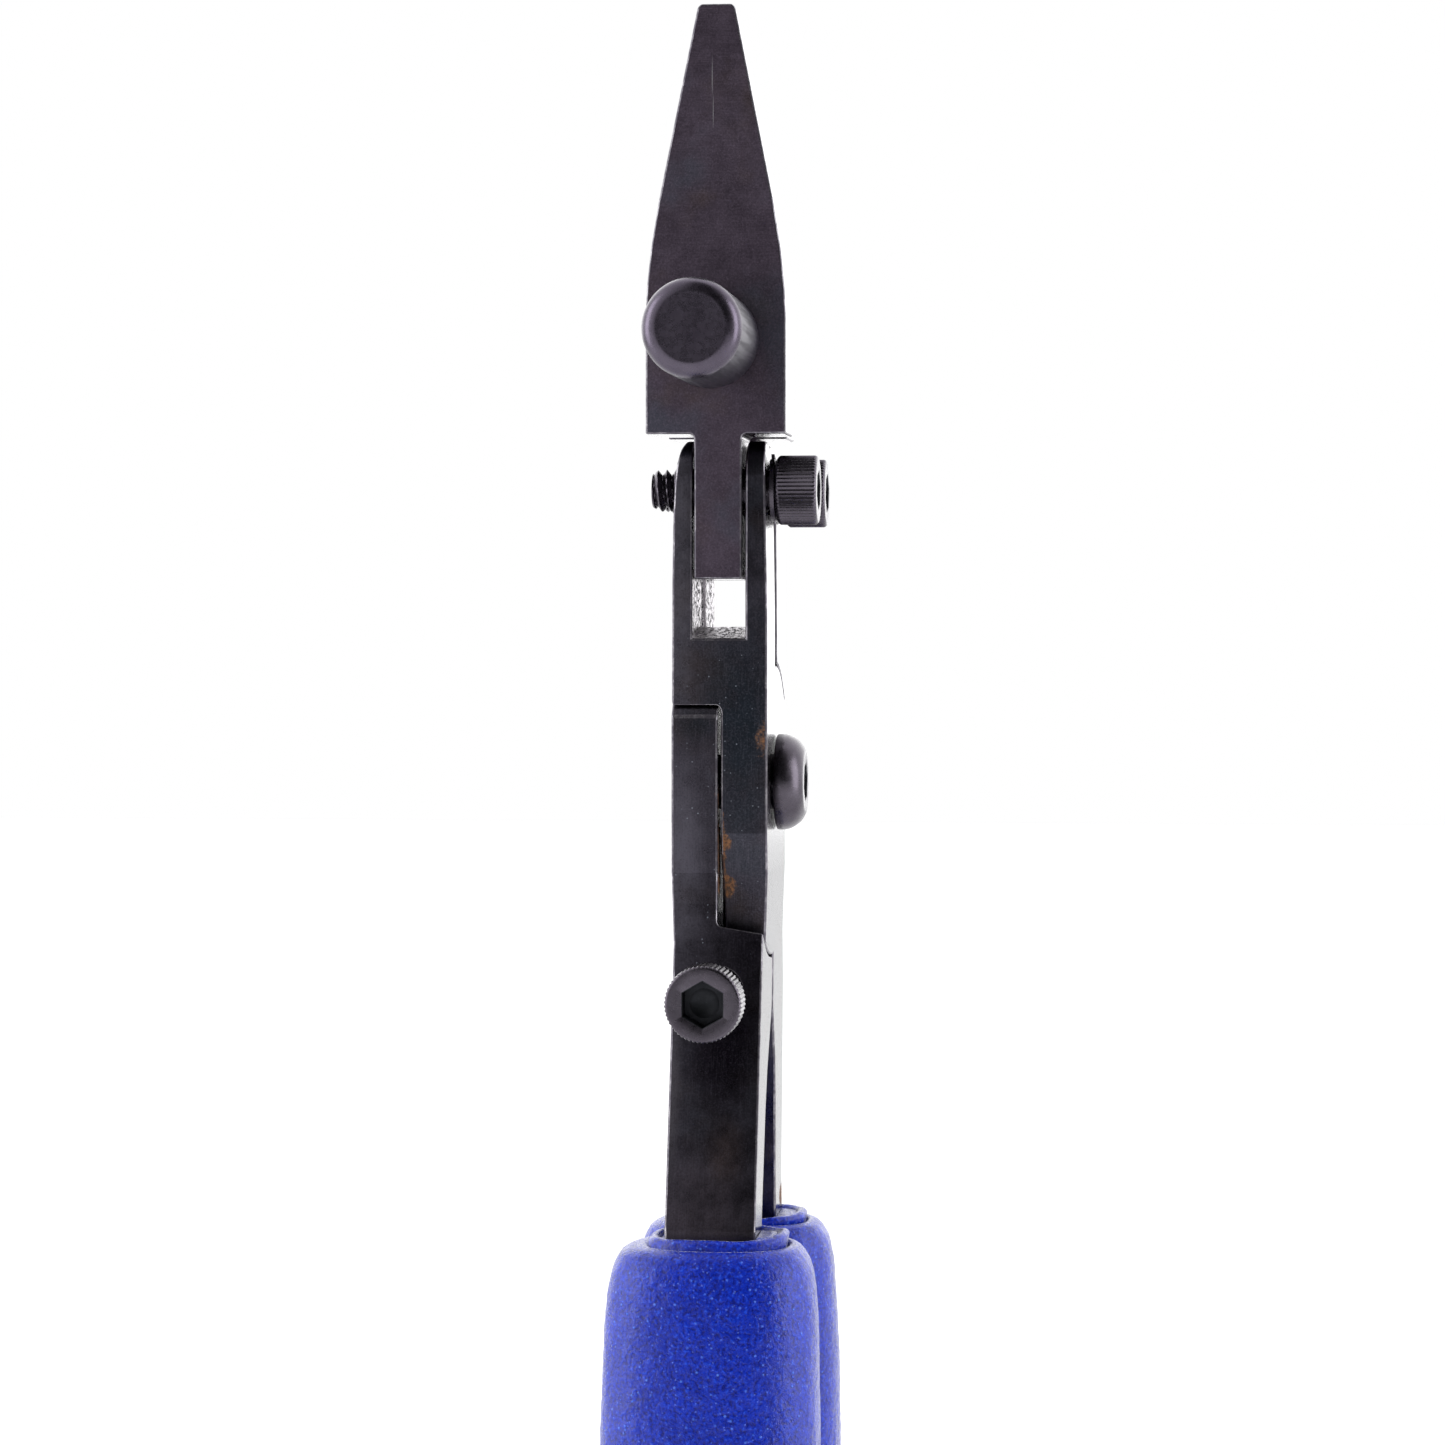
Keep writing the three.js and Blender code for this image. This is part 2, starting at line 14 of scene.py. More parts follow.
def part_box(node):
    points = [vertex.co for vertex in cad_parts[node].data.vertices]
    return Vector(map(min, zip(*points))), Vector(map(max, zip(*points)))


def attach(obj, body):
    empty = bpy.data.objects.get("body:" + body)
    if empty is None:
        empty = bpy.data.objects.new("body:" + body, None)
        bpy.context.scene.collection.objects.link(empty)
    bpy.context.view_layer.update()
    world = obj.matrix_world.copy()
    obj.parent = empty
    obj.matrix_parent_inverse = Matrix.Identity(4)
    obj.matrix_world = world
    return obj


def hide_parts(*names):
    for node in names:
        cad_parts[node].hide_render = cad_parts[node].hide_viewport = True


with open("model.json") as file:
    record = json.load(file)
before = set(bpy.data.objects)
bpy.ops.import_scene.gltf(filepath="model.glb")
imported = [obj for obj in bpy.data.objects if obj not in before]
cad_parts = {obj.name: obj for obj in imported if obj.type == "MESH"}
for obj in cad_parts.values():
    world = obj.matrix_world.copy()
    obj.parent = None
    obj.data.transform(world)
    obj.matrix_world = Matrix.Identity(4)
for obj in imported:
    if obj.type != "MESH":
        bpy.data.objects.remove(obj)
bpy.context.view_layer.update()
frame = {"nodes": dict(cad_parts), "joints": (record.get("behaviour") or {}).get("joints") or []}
NODES = frame["nodes"]
MM = 0.001
JOINTS = {joint["name"]: joint for joint in frame["joints"]}
PIVOT = Vector(JOINTS["jaw_pivot"]["pos_m"])

# Camera: its place about the pivot, and where it aims
CAMERA_AZIMUTH = math.radians(6.3)
CAMERA_DISTANCE = 0.459
CAMERA_RISE = 0.0176
CAMERA_PITCH = math.radians(1.34)
CAMERA_AIM_LEFT = 0.00081
LENS_MM = 98.41
SENSOR_MM = 36.0

# Screws, washers, dies and knobs, in millimetres
JAW_SCREW = {"radius": 2.415, "head": 3.96, "height": 4.7, "socket": 3.97, "length": 14.35,
             "pitch": 1.058, "threaded": 3.2, "teeth": 54}
STOP_SCREW = {"radius": 2.5, "head": 4.3, "height": 4.8, "socket": 4.45, "length": 22.0,
              "pitch": 0.8, "threaded": 10.5, "teeth": 54}
PIVOT_SCREW = {"radius": 3.175, "head": 5.55, "rim": 1.1, "height": 3.3, "flat": 3.65,
               "socket": 3.97, "length": 10.95}
WASHER = {"inner": 2.75, "outer": 3.6, "thickness": 0.65}
KNOB = {"radius": 5.55, "height": 19.1, "edge": 1.6, "fullness": 0.32, "foot": 0.45, "bore": 2.7,
        "depth": 10}
DIE = {"radius": 5.4, "shank": 2.4, "seat": 2.5}
SOCKET_BANDS = 8                # bands of faces in a socket's walls and floor
BUTTON_COLUMNS = 192            # faces round the pivot screw
COLUMNS_PER_TOOTH = 6           # faces across one tooth of a cap screw's knurling

# Handles: the vinyl's middle line and half sizes, in millimetres from the pivot
LINER = {"end": -149.5, "half_width": 8.0, "half_depth": 6.5}
GRIP = {"end": -152.0, "half_width": 12.4, "half_depth": 9.75}
SECTION_POWER = 0.78            # the sleeves' section: 1 is an ellipse, less is squarer
COLLAR_OFFSET = 0.7             # the collars sit a little to the right of the steel
SKIN_INSET = 0.16               # keeps the pebbled skin inside the sleeve's outline
STEEL_HALF_WIDTH = 5.1
STEEL_GAP = 0.08                # from the steel to the inner sleeve
STEEL_END = -147.0


# ---------------------------------------------------------------- material graphs


class Graph:
    """A material's node tree, with a method for each kind of node that the finishes use."""

    def __init__(self, name):
        self.material = bpy.data.materials.new(name)
        self.material.use_nodes = True
        self.tree = self.material.node_tree
        self.shader = self.tree.nodes["Principled BSDF"]
        self.place = self.add("ShaderNodeTexCoord").outputs["Object"]

    def add(self, kind, sockets=None, **settings):
        node = self.tree.nodes.new(kind)
        for key, value in settings.items():
            setattr(node, key, value)
        for key, value in (sockets or {}).items():
            self.set(node.inputs[key], value)
        return node

    def set(self, socket, value):
        if isinstance(value, bpy.types.NodeSocket):
            self.tree.links.new(value, socket)
        else:
            socket.default_value = value

    def stretched(self, x, y, z):
        """Object coordinates divided by a size in millimetres along each axis."""
        sizes = [1 / (size * MM) for size in (x, y, z)]
        return self.add("ShaderNodeMapping", {"Vector": self.place, "Scale": sizes}).outputs[0]

    def grain(self, size, detail=3.0, rough=0.55, coordinates=None):
        """Noise from 0 to 1 whose features are about size millimetres across."""
        vector = self.stretched(size, size, size) if coordinates is None else coordinates
        return self.add("ShaderNodeTexNoise", {"Vector": vector, "Scale": 1.0, "Detail": detail,
                                               "Roughness": rough}).outputs["Fac"]

    def dots(self, size, radius):
        """(nearness to a dot's middle from 0 to 1, the dot's own random number)."""
        cells = self.add("ShaderNodeTexVoronoi", {"Vector": self.stretched(size, size, size),
                                                  "Scale": 1.0})
        near = self.remap(cells.outputs["Distance"], radius, radius * 0.4)
        cell = self.add("ShaderNodeSeparateColor", {"Color": cells.outputs["Color"]}).outputs[0]
        return near, cell

    def remap(self, value, low, high, out_low=0.0, out_high=1.0):
        sockets = {"Value": value, "From Min": low, "From Max": high, "To Min": out_low,
                   "To Max": out_high}
        return self.add("ShaderNodeMapRange", sockets, interpolation_type="SMOOTHSTEP").outputs[0]

    def math(self, operation, first, second=0.0):
        node = self.add("ShaderNodeMath", operation=operation)
        self.set(node.inputs[0], first)
        self.set(node.inputs[1], second)
        return node.outputs[0]

    def axes(self):
        """The x, y and z of object coordinates, in metres."""
        return self.add("ShaderNodeSeparateXYZ", {"Vector": self.place}).outputs

    def mix(self, factor, first, second):
        """Mixes two colours, each a socket or an (r, g, b)."""
        node = self.add("ShaderNodeMix", data_type="RGBA")
        self.set(node.inputs[0], factor)
        for index, color in ((6, first), (7, second)):
            self.set(node.inputs[index], color if isinstance(color, bpy.types.NodeSocket) else (*color, 1))
        return node.outputs[2]

    def mix_value(self, factor, first, second):
        """Mixes two numbers, each a socket or a value."""
        node = self.add("ShaderNodeMix", data_type="FLOAT")
        for index, value in ((0, factor), (2, first), (3, second)):
            self.set(node.inputs[index], value)
        return node.outputs[0]

    def bump(self, height, distance, under=None):
        """Bump of height (0 to 1) times distance in millimetres, over another bump if there is one."""
        sockets = {"Height": height, "Distance": distance * MM, "Strength": 1.0}
        if under is not None:
            sockets["Normal"] = under
        return self.add("ShaderNodeBump", sockets).outputs[0]

    def near(self, point, radii, soft=0.6):
        """1 at a point (millimetres from the pivot), fading to 0 at radii millimetres along x, y, z."""
        sizes = [1 / (radius * MM) for radius in radii]
        start = [-(PIVOT[i] + point[i] * MM) * sizes[i] for i in range(3)]
        moved = self.add("ShaderNodeMapping", {"Vector": self.place, "Location": start,
                                               "Scale": sizes}).outputs[0]
        length = self.add("ShaderNodeVectorMath", {0: moved}, operation="LENGTH").outputs["Value"]
        return self.remap(length, 1.0, 1.0 - soft)

    def inside(self, low, high, soft=0.15):
        """1 inside a box given in millimetres from the pivot, 0 outside it."""
        amount = None
        for i, place in enumerate(self.axes()):
            start, end = PIVOT[i] + low[i] * MM, PIVOT[i] + high[i] * MM
            rising = self.remap(place, start, start + soft * MM)
            falling = self.remap(place, end, end - soft * MM)
            both = self.math("MULTIPLY", rising, falling)
            amount = both if amount is None else self.math("MULTIPLY", amount, both)
        return amount

    def facing_sideways(self):
        """1 on faces that look along X or straight down, 0 on the others."""
        normal = self.tree.nodes.new("ShaderNodeTexCoord").outputs["Normal"]
        x, _, z = self.add("ShaderNodeSeparateXYZ", {"Vector": normal}).outputs
        reach = self.math("MAXIMUM", self.math("ABSOLUTE", x), self.math("MULTIPLY", z, -1.0))
        return self.remap(reach, 0.80, 0.97)

    def finish(self, **sockets):
        """Sets the shader's sockets and returns the material."""
        names = {"color": "Base Color", "metal": "Metallic", "rough": "Roughness",
                 "normal": "Normal", "specular": "Specular IOR Level", "sheen": "Sheen Weight"}
        for key, value in sockets.items():
            self.set(self.shader.inputs[names[key]], value)
        return self.material


def rust(graph, color, rough, metal, mask):
    """Lays rust over a finish where mask is high, broken up by its own grain."""
    crust = graph.grain(0.7, 5.0, 0.75)
    amount = graph.math("MULTIPLY", graph.remap(graph.math("ADD", mask, crust), 0.78, 1.02), 0.92)
    shades = graph.mix(graph.remap(graph.grain(0.3, 3.0), 0.35, 0.65), (0.045, 0.022, 0.012),
                       (0.21, 0.085, 0.028))
    return (graph.mix(amount, color, shades), graph.mix_value(amount, rough, 0.85),
            graph.mix_value(amount, metal, 0.0))


def black_oxide(name, dark, light, rough, lines, rusty=(), tone_and_painted_light_patches=(), dust=None, slot=None,
                scratches=(), crown=None, ground_above=None, ground=1.0):
    """Matte black oxide on steel: mottled colour, fine grain, faint grinding lines and dust.

    Places are in millimetres from the pivot. lines is (x, y, z) sizes of one streak, rusty is
    (point, radii, amount), and the colour patches are (point, radii, colour, amount): lighter ones
    are painted reflections, darker ones painted shade, and a few only the oxide's own tone. dust is
    (point, radii), slot is a (low, high) box of rough walls, and crown is (x of the face's middle,
    its half width, its rise). ground is the lines' strength; below ground_above they fade out.
    """
    graph = Graph(name)
    mottle = graph.grain(6.0, 5.0, 0.62)
    color = graph.mix(graph.remap(mottle, 0.3, 0.7), dark, light)
    brown = graph.remap(graph.grain(9.0, 4.0), 0.50, 0.70, 0.0, 0.5)
    color = graph.mix(brown, color, tuple(light[0] * k for k in (1.0, 0.72, 0.62)))
    blue = graph.remap(graph.grain(12.0, 4.0), 0.52, 0.70, 0.0, 0.5)
    color = graph.mix(blue, color, tuple(dark[0] * k for k in (0.7, 0.95, 1.25)))
    # Colour patches: lighter ones paint reflections, darker ones paint shade, a few are the oxide's own tone.
    for point, radii, shade, amount in tone_and_painted_light_patches:
        ragged = graph.math("MULTIPLY", graph.near(point, radii, 0.8),
                            graph.remap(graph.grain(3.0, 5.0, 0.65), 0.25, 0.6, 0.55, 1.0))
        color = graph.mix(graph.math("MULTIPLY", ragged, amount), color, shade)
    fine = graph.grain(0.22, 3.0, 0.75)
    color = graph.mix(graph.remap(fine, 0.45, 0.75, 0.0, 0.45), color, tuple(1.9 * c for c in light))
    color = graph.mix(graph.remap(fine, 0.5, 0.25, 0.0, 0.5), color, tuple(0.5 * c for c in dark))
    roughness = graph.remap(graph.grain(3.0, 5.0, 0.65), 0.3, 0.7, rough - 0.06, rough + 0.08)
    side = graph.facing_sideways()
    roughness = graph.mix_value(side, roughness, 0.16)
    metal = 1.0
    streaks = graph.grain(1.0, 4.0, 0.7, graph.stretched(*lines))
    share = ground
    if ground_above is not None:
        share = graph.remap(graph.axes()[2], PIVOT.z + ground_above * MM,
                            PIVOT.z + (ground_above + 5) * MM, 0.15 * ground, ground)
    bright = graph.math("MULTIPLY", graph.remap(streaks, 0.5, 0.72, 0.0, 0.75), share)
    color = graph.mix(bright, color, tuple(2.1 * c for c in light))
    deep = graph.math("MULTIPLY", graph.remap(streaks, 0.46, 0.28, 0.0, 0.7), share)
    color = graph.mix(deep, color, tuple(0.5 * c for c in dark))
    height = graph.mix_value(graph.math("MULTIPLY", share, 0.5), fine, streaks)
    if slot:
        wall = graph.inside(*slot)
        pits = graph.math("MULTIPLY", wall, graph.remap(graph.grain(0.46, 4.0, 0.75), 0.52, 0.42))
        color = graph.mix(wall, color, (0.50, 0.47, 0.50))
        color = graph.mix(pits, color, (0.020, 0.019, 0.022))
        metal = graph.math("SUBTRACT", 1.0, pits)
        roughness = graph.mix_value(wall, roughness, graph.mix_value(pits, 0.3, 1.0))
        height = graph.mix_value(wall, height, graph.math("MULTIPLY", pits, -6.0))
    for point, radii in scratches:
        color = graph.mix(graph.near(point, radii, 0.7), color, (0.25, 0.24, 0.26))
    for point, radii, amount in rusty:
        color, roughness, metal = rust(graph, color, roughness, metal,
                                       graph.math("MULTIPLY", graph.near(point, radii, 0.9), amount))
    if dust:
        near, cell = graph.dots(0.62, 0.17)
        chosen = graph.math("GREATER_THAN", cell, 0.74)
        speck = graph.math("MULTIPLY", graph.math("MULTIPLY", near, chosen), graph.near(*dust))
        color = graph.mix(graph.math("MULTIPLY", speck, 0.8), color, (0.16, 0.18, 0.22))
        metal = graph.mix_value(speck, metal, 0.0)
    normal = None
    if crown:
        middle_x, half, rise = crown
        across = graph.math("SUBTRACT", graph.axes()[0], PIVOT.x + middle_x * MM)
        away = graph.math("ABSOLUTE", graph.math("DIVIDE", across, half * MM))
        fall = graph.math("SUBTRACT", 1.0, graph.math("POWER", away, 2.6))
        normal = graph.bump(graph.math("MULTIPLY", fall, graph.math("SUBTRACT", 1.0, side)), rise)
    normal = graph.bump(height, 0.016, under=normal)
    return graph.finish(color=color, metal=metal, rough=roughness, normal=normal)


def worn_edge(name, slot):
    """Steel showing dully through the oxide along an edge, and paler inside the slot's box."""
    graph = Graph(name)
    wear = graph.remap(graph.grain(1.6, 5.0, 0.7), 0.42, 0.66)
    wall = graph.inside(*slot)
    color = graph.mix(wear, (0.085, 0.078, 0.094), (0.21, 0.20, 0.22))
    color = graph.mix(wall, color, (0.60, 0.57, 0.60))
    rough = graph.mix_value(wall, graph.mix_value(wear, 0.36, 0.26), 1.0)
    return graph.finish(color=color, metal=1.0, rough=rough,
                        normal=graph.bump(graph.grain(0.3, 3.0), 0.02))


def screw_finish(name, dark, light, rough, painted_shade_within=None):
    """Satin black oxide of a hardened screw: even, with small rubbed spots.

    Given a distance in millimetres as its last argument, within that distance of the middle plane the colour
    is darkened as painted shade, with light and dark streaks along the axis as painted reflections, and the
    surface is rougher.
    """
    graph = Graph(name)
    color = graph.mix(graph.remap(graph.grain(2.2, 4.0, 0.6), 0.2, 0.85), dark, light)
    spots = graph.remap(graph.grain(0.3, 4.0, 0.75), 0.60, 0.75, 0.0, 0.5)
    color = graph.mix(spots, color, tuple(1.9 * c for c in light))
    roughness = graph.remap(graph.grain(0.7, 4.0, 0.6), 0.3, 0.7, rough - 0.03, rough + 0.05)
    # Painted shade and painted reflection: the knob's side is darkened and streaked along its axis.
    if painted_shade_within:
        away = graph.math("ABSOLUTE", graph.axes()[1])
        painted_shade_side = graph.remap(away, painted_shade_within * MM, (painted_shade_within - 0.6) * MM)
        painted_reflection_streaks = graph.remap(graph.grain(1.0, 2.0, 0.5, graph.stretched(0.9, 16.0, 0.9)), 0.35, 0.65)
        color = graph.mix(painted_shade_side, color, graph.mix(painted_reflection_streaks, (0.030, 0.027, 0.036), (0.056, 0.051, 0.066)))
        roughness = graph.mix_value(painted_shade_side, roughness, graph.mix_value(painted_reflection_streaks, 0.60, 0.42))
    return graph.finish(color=color, metal=1.0, rough=roughness,
                        normal=graph.bump(graph.grain(0.12, 2.0), 0.008))


def vinyl(name):
    """Dipped blue vinyl: deep mottled blue, painted shade in the pebbles' hollows and painted highlight on
    their tops, pale specks partly of pigment and partly painted glints, a pebbled skin.
    """
    graph = Graph(name)
    cloud = graph.grain(3.0, 4.0, 0.6)
    color = graph.mix(graph.remap(cloud, 0.3, 0.7), (0.0010, 0.0130, 0.27), (0.0016, 0.0190, 0.36))
    pebbles = graph.grain(0.36, 3.0, 0.65)
    # Painted shade in the pebbles' hollows and painted highlight on their tops.
    color = graph.mix(graph.remap(pebbles, 0.52, 0.36, 0.0, 0.85), color, (0.0004, 0.003, 0.11))
    color = graph.mix(graph.remap(pebbles, 0.54, 0.72, 0.0, 0.7), color, (0.012, 0.070, 0.62))
    # Pale dots: partly pigment specks, partly painted glints on the pebbles.
    near, cell = graph.dots(0.80, 0.24)
    big = graph.math("MULTIPLY", near, graph.remap(cell, 0.35, 0.9, 0.0, 0.65))
    color = graph.mix(big, color, (0.075, 0.20, 0.80))
    near, cell = graph.dots(0.45, 0.30)
    small = graph.math("MULTIPLY", near, graph.remap(cell, 0.45, 1.0, 0.0, 0.7))
    color = graph.mix(small, color, (0.06, 0.14, 0.72))
    bumps = graph.math("ADD", pebbles, graph.math("MULTIPLY", graph.math("MAXIMUM", big, small), 0.6))
    roughness = graph.remap(graph.grain(0.9, 4.0), 0.3, 0.7, 0.20, 0.30)
    graph.shader.inputs["Sheen Roughness"].default_value = 0.15
    return graph.finish(color=color, rough=roughness, normal=graph.bump(bumps, 0.11),
                        specular=0.30, sheen=1.0)


def urethane(name):
    """Matte amber urethane of the cushion ring."""
    graph = Graph(name)
    color = graph.mix(graph.grain(0.8, 3.0), (0.62, 0.52, 0.30), (0.72, 0.64, 0.42))
    return graph.finish(color=color, rough=graph.remap(graph.grain(0.5), 0.3, 0.7, 0.45, 0.6),
                        normal=graph.bump(graph.grain(0.2), 0.01))


# ---------------------------------------------------------------- meshes


def surface(name, rows):
    """A closed surface from rows of points: a row is an (n, 3) array of a loop, or one (3,) end point."""
    vertices, faces, previous = [], [], None
    for row in rows:
        start = len(vertices)
        if row.ndim == 1:
            vertices.append(row)
            current = [start]
        else:
            vertices.extend(row)
            current = list(range(start, start + len(row)))
        if previous is not None:
            count = max(len(previous), len(current))
            for i in range(count):
                j = (i + 1) % count
                if len(previous) == 1:
                    faces.append((previous[0], current[j], current[i]))
                elif len(current) == 1:
                    faces.append((previous[i], previous[j], current[0]))
                else:
                    faces.append((previous[i], previous[j], current[j], current[i]))
        previous = current
    mesh = bpy.data.meshes.new(name)
    mesh.from_pydata([tuple(v) for v in vertices], [], faces)
    mesh.update()
    return mesh


def shown(name, mesh, material, body, replaced, sharp=40):
    """Puts a mesh into the scene as a piece that stands for a CAD node."""
    mesh.shade_smooth()
    mesh.set_sharp_from_angle(angle=math.radians(sharp))
    mesh.materials.append(material)
    piece = bpy.data.objects.new(name, mesh)
    bpy.context.scene.collection.objects.link(piece)
    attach(piece, body)
    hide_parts(replaced)
    return piece


def shade_socket(piece, columns):
    """Gives a socket's walls and floor a darker colour as painted shade; they are the mesh's last bands of
    faces.
    """
    piece.data.materials.append(socket_shade)
    count = len(piece.data.polygons)
    for polygon in piece.data.polygons[count - SOCKET_BANDS * columns:]:
        polygon.material_index = 1


def arc(centre, radius, start, end, count=6):
    """(radius, height) points of an arc, from start to end degrees."""
    angles = np.radians(np.linspace(start, end, count + 1))
    return [(centre[0] + radius * math.cos(a), centre[1] + radius * math.sin(a)) for a in angles]


def turned_rows(profile, columns):
    """Loops about Z from (radius, height) points in millimetres; a radius may be an array."""
    angle = np.linspace(0, 2 * math.pi, columns, endpoint=False)
    rows = []
    for radius, height in profile:
        if np.isscalar(radius) and radius == 0:
            rows.append(np.array([0.0, 0.0, height]))
        else:
            loop = np.stack([radius * np.cos(angle), radius * np.sin(angle),
                             np.broadcast_to(height, angle.shape)], axis=1)
            rows.append(loop)
    return rows


def hexagon(across, columns):
    """Radius of a hexagon with this size across its flats, at each column's angle."""
    angle = np.linspace(0, 2 * math.pi, columns, endpoint=False)
    return across / 2 / np.cos((angle + math.pi / 6) % (math.pi / 3) - math.pi / 6)


def thread_rows(radius, pitch, low, high, columns, run_in):
    """Loops of a right-handed V thread from height high down to low, fading out at its top."""
    angle = np.linspace(0, 2 * math.pi, columns, endpoint=False)
    count = round((high - low) / pitch * 12)
    rows = []
    for i in range(count + 1):
        height = high - (high - low) * i / count
        turn = (height / pitch - angle / (2 * math.pi)) % 1
        depth = np.clip(1.18 * np.abs(2 * turn - 1) - 0.09, 0, 1) * 0.56 * pitch
        fade = np.clip((high - height) / run_in, 0, 1)
        lead = np.clip((height - low) / (0.6 * pitch), 0, 1) * 0.45 * pitch - 0.45 * pitch
        rows.append((np.minimum(radius - depth * fade, radius + lead), height))
    return rows


def socket_profile(top, across, depth, columns):
    """From a flat face at height top, down into a hexagon socket with a drilled bottom."""
    flats = hexagon(across, columns)
    drill = across * 0.36
    return [(flats + 0.10, top), (flats + 0.03, top - 0.03), (flats, top - 0.12),
            (flats, top - depth + 0.08), (flats - 0.06, top - depth), (drill + 0.04, top - depth - 0.01),
            (drill, top - depth - 0.06), (drill * 0.5, top - depth - 0.30), (0, top - depth - 0.40)]


def cap_screw(spec):
    """A knurled socket cap screw along +Z with its head's underside at z = 0."""
    teeth, columns = spec["teeth"], spec["teeth"] * COLUMNS_PER_TOOTH
    angle = np.linspace(0, 2 * math.pi, columns, endpoint=False)
    ridge = np.abs(((angle * teeth / (2 * math.pi)) % 1) * 2 - 1)
    head, height = spec["head"], spec["height"]
    cut = 0.13 * np.clip(1.5 * ridge - 0.25, 0, 1)
    edge = 0.45
    profile = [(0, -spec["length"])]
    tip = spec["radius"] - 0.45 * spec["pitch"]
    profile += [(tip * 0.98, -spec["length"]), (tip, -spec["length"] + 0.02)]
    low = -spec["length"] + 0.03
    high = low + spec["threaded"]
    profile += list(reversed(thread_rows(spec["radius"], spec["pitch"], low, high, columns,
                                         0.8 * spec["pitch"])))
    profile += [(spec["radius"], high + 0.05), (spec["radius"], -0.05), (spec["radius"] + 0.05, 0)]
    profile += [(head - 0.35, 0.0), (head - 0.16 - cut * 0.2, 0.14)]
    profile += [(head - cut * 0.9, 0.36), (head - cut, 0.5), (head - cut, height - edge - 0.25)]
    profile += [(head - cut * share - edge * (1 - math.cos(a)), height - edge + edge * math.sin(a))
                for share, a in ((0.95, 0.05), (0.8, 0.35), (0.4, 0.7), (0.1, 1.05), (0, 1.35),
                                 (0, math.pi / 2))]
    profile += [(head - edge - 0.35, height)]
    profile += socket_profile(height, spec["socket"], spec["height"] * 0.42, columns)
    return turned_rows(profile, columns)


def button_screw(spec):
    """The pivot's button-head screw along +Z with its head's underside at z = 0."""
    columns = BUTTON_COLUMNS
    radius, head, rim, height, flat = (spec[k] for k in ("radius", "head", "rim", "height", "flat"))
    profile = [(0, -spec["length"]), (radius - 0.4, -spec["length"]), (radius, -spec["length"] + 0.4),
               (radius, -0.02), (head - 0.3, 0.0), (head - 0.06, 0.08), (head, 0.28), (head, rim - 0.15),
               (head - 0.03, rim)]
    for i in range(1, 13):
        t = i / 12
        r = (1 - t) ** 2 * head + 2 * t * (1 - t) * (head - 0.5) + t * t * flat
        h = (1 - t) ** 2 * rim + 2 * t * (1 - t) * (height - 0.5) + t * t * height
        profile.append((r, h))
    profile += [(flat - 0.3, height)]
    profile += socket_profile(height, spec["socket"], 2.0, columns)
    return turned_rows(profile, columns)


def placed(rows, origin, axis, spin=0.0):
    """Rows in millimetres along +Z, put at origin (metres) along a world axis."""
    turn = Vector((0, 0, 1)).rotation_difference(Vector(axis)).to_matrix() @ Matrix.Rotation(
        math.radians(spin), 3, "Z")
    matrix = np.array(turn)
    return [row @ matrix.T * MM + np.array(origin) for row in rows]


# ---------------------------------------------------------------- finishes

SLOT_WALLS = ((-3.6, -10.35, 15.5), (3.5, 10.35, 24.6))
LAP_RUST = (((0.7, -9.8, -11.6), (1.7, 3.0, 2.4), 0.85), ((0.2, -9.5, -7.5), (1.0, 4.0, 11.0), 0.66),
            ((0.6, -9.8, -6.5), (1.4, 3.0, 2.4), 0.60), ((-0.2, -9.8, -1.5), (1.0, 3.0, 3.0), 0.45))
# Front lever patches: the lighter one on the left cheek is a painted reflection; the dark bluish one below
# the window is painted shade.
front_steel = black_oxide(
    "front_lever_black_oxide_painted_light", (0.028, 0.026, 0.034), (0.044, 0.041, 0.052), 0.32, (0.12, 3.0, 3.0),
    rusty=(*LAP_RUST, ((4.9, -10.5, 5.2), (1.8, 2.0, 5.0), 0.42), ((4.3, 20.0, -50.8), (1.6, 5.0, 2.4), 0.8)),
    tone_and_painted_light_patches=(((-4.6, -10.5, 24.0), (2.4, 6.0, 26.0), (0.080, 0.075, 0.090), 0.75),
             ((2.2, -10.5, 7.0), (6.5, 5.0, 15.0), (0.010, 0.017, 0.024), 0.8)),
    dust=((1.0, -9.0, 3.0), (9.0, 9.0, 22.0)), slot=SLOT_WALLS, crown=(0.0, 5.45, 0.2), ground=0.35)
# Rear lever patches: the lighter ones on the lobe and the handle's left and lower parts are painted
# reflections; the near-black ones under the shoulder, across the upper handle and beside the lap are painted
# shade; the brownish one is the oxide's tone.
rear_steel = black_oxide(
    "rear_lever_black_oxide_painted_light", (0.030, 0.027, 0.035), (0.047, 0.043, 0.055), 0.32, (0.12, 3.0, 3.0),
    rusty=LAP_RUST,
    tone_and_painted_light_patches=(((-4.2, -12.0, -9.0), (3.4, 7.0, 17.0), (0.085, 0.080, 0.100), 0.85),
             ((-5.0, -16.0, -34.0), (1.8, 9.0, 14.0), (0.085, 0.078, 0.090), 0.75),
             ((-1.0, -20.0, -47.0), (8.0, 9.0, 8.5), (0.064, 0.053, 0.066), 0.8),
             ((1.5, -18.0, -41.0), (3.0, 6.0, 5.0), (0.075, 0.052, 0.048), 0.5),
             ((0.8, -14.0, -31.0), (6.0, 9.0, 8.0), (0.007, 0.005, 0.009), 0.95),
             ((-2.6, -10.0, 7.0), (4.2, 3.0, 3.0), (0.006, 0.010, 0.013), 0.9),
             ((3.8, -12.0, -17.0), (5.0, 5.0, 9.0), (0.012, 0.010, 0.015), 0.8)),
    dust=((-1.5, -9.0, -10.0), (9.0, 9.0, 24.0)), slot=SLOT_WALLS, crown=(0.0, 5.3, 0.2), ground=0.35)
